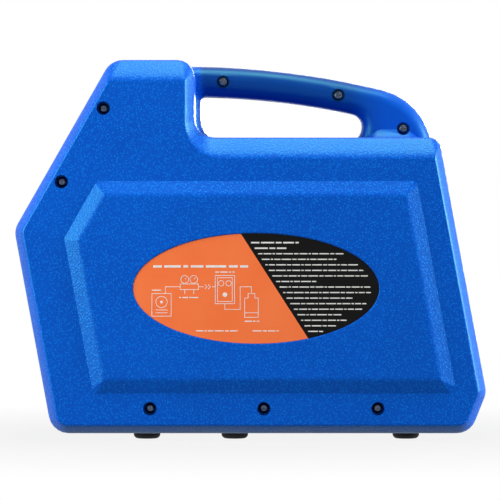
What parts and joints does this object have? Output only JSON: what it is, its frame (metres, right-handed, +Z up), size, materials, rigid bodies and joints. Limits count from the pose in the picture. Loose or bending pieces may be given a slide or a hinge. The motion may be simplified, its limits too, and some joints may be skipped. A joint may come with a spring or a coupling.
{
  "type": "refrigerant recovery machine",
  "caption": "Portable refrigerant recovery machine in a blue moulded case with a carrying handle, gauges, valve knobs and flare hose ports in a sunk front and a louvred fan outlet.",
  "frame": {"origin": "floor level, under the middle of the case", "axes": "+X from the control front to the fan end, +Z up, the side with the oval plate faces -Y"},
  "size_m": [0.4184, 0.245, 0.3385],
  "materials": {
    "shell_blue": "pebbled moulded grain, satin",
    "plate_print": "printed film",
    "panel_charcoal": "fine moulded texture",
    "grille_black": "moulded",
    "zinc_steel": "zinc plated",
    "foot_rubber": "matt",
    "gauge_black": "moulded",
    "dial_white": "printed",
    "needle_black": "matt",
    "gauge_glass": "clear",
    "low_blue": "moulded",
    "high_red": "moulded",
    "control_black": "moulded",
    "valve_alloy": "machined",
    "fitting_brass": "turned",
    "motor_grey": "lacquered laminations",
    "winding_copper": "enamelled wire",
    "pipe_copper": "drawn tube",
    "cast_alloy": "die cast",
    "fin_alloy": "stamped",
    "bright_steel": "ground"
  },
  "bodies": {
    "case": {"near_shell": "shell_blue", "far_shell": "shell_blue", "side_plate": "plate_print", "front_panel": "panel_charcoal", "rear_grille": "grille_black", "base_tray": "zinc_steel", "rubber_feet": "foot_rubber", "foot_screws": "zinc_steel", "case_screws": "zinc_steel", "tray_nuts": "zinc_steel", "low_gauge_case": "gauge_black", "low_gauge_dial": "dial_white", "low_gauge_lens": "gauge_glass", "low_gauge_bezel": "low_blue", "high_gauge_case": "gauge_black", "high_gauge_dial": "dial_white", "high_gauge_lens": "gauge_glass", "high_gauge_bezel": "high_red", "mode_valve": "valve_alloy", "inlet_valve": "valve_alloy", "outlet_valve": "valve_alloy", "inlet_port": "fitting_brass", "outlet_port": "fitting_brass", "switch_body": "control_black", "breaker_body": "control_black", "power_inlet": "control_black", "pressure_switch": "fitting_brass", "gauge_tubes": "pipe_copper", "motor_stator": "motor_grey", "motor_windings": "winding_copper", "motor_front_bell": "cast_alloy", "motor_rear_bell": "cast_alloy", "motor_bolts": "zinc_steel", "front_bearing": "bright_steel", "rear_bearing": "bright_steel", "motor_cradle": "zinc_steel", "isolators": "foot_rubber", "run_capacitor": "fin_alloy", "capacitor_clip": "zinc_steel", "fan_shroud": "grille_black", "crankcase": "cast_alloy", "crankcase_cover": "cast_alloy", "near_cylinder": "cast_alloy", "far_cylinder": "cast_alloy", "near_head": "cast_alloy", "far_head": "cast_alloy", "condenser_fins": "fin_alloy", "condenser_coil": "pipe_copper", "condenser_frame": "zinc_steel", "refrigerant_pipes": "pipe_copper"},
    "rotor": {"motor_shaft": "bright_steel", "motor_rotor": "bright_steel", "cooling_fan": "control_black"},
    "inlet_handwheel": {"inlet_knob": "low_blue"},
    "outlet_handwheel": {"outlet_knob": "high_red"},
    "mode_selector": {"mode_knob": "control_black"},
    "power_rocker": {"switch_rocker": "high_red"},
    "reset_button": {"breaker_button": "high_red"},
    "low_pointer": {"low_gauge_needle": "needle_black"},
    "high_pointer": {"high_gauge_needle": "needle_black"}
  },
  "joints": [
    {"name": "rotor_spin", "type": "hinge", "parent": "case", "child": "rotor", "pos_m": [0, 0, 0.112], "axis": [1, 0, 0], "continuous": true},
    {"name": "inlet_valve_turn", "type": "hinge", "parent": "case", "child": "inlet_handwheel", "pos_m": [-0.16068, 0.046, 0.15189], "axis": [-0.9833, 0, -0.1822], "range_deg": [0, 90]},
    {"name": "outlet_valve_turn", "type": "hinge", "parent": "case", "child": "outlet_handwheel", "pos_m": [-0.16068, -0.046, 0.15189], "axis": [-0.9833, 0, -0.1822], "range_deg": [0, 90]},
    {"name": "mode_turn", "type": "hinge", "parent": "case", "child": "mode_selector", "pos_m": [-0.16984, 0, 0.21755], "axis": [-0.8686, 0, 0.4955], "range_deg": [-60, 60]},
    {"name": "power_rocker_tilt", "type": "hinge", "parent": "case", "child": "power_rocker", "pos_m": [-0.1681, 0.058, 0.21656], "axis": [0, 1, 0], "range_deg": [0, 18]},
    {"name": "reset_press", "type": "slide", "parent": "case", "child": "reset_button", "axis": [0.8686, 0, -0.4955], "range_m": [0, 0.0025], "stiffness_N_per_m": 400},
    {"name": "low_needle_sweep", "type": "hinge", "parent": "case", "child": "low_pointer", "pos_m": [-0.13714, 0.043, 0.27488], "axis": [0.8686, 0, -0.4955], "range_deg": [0, 270], "stiffness_Nm_per_rad": 0.0004},
    {"name": "high_needle_sweep", "type": "hinge", "parent": "case", "child": "high_pointer", "pos_m": [-0.13714, -0.043, 0.27488], "axis": [0.8686, 0, -0.4955], "range_deg": [0, 270], "stiffness_Nm_per_rad": 0.0004}
  ]
}
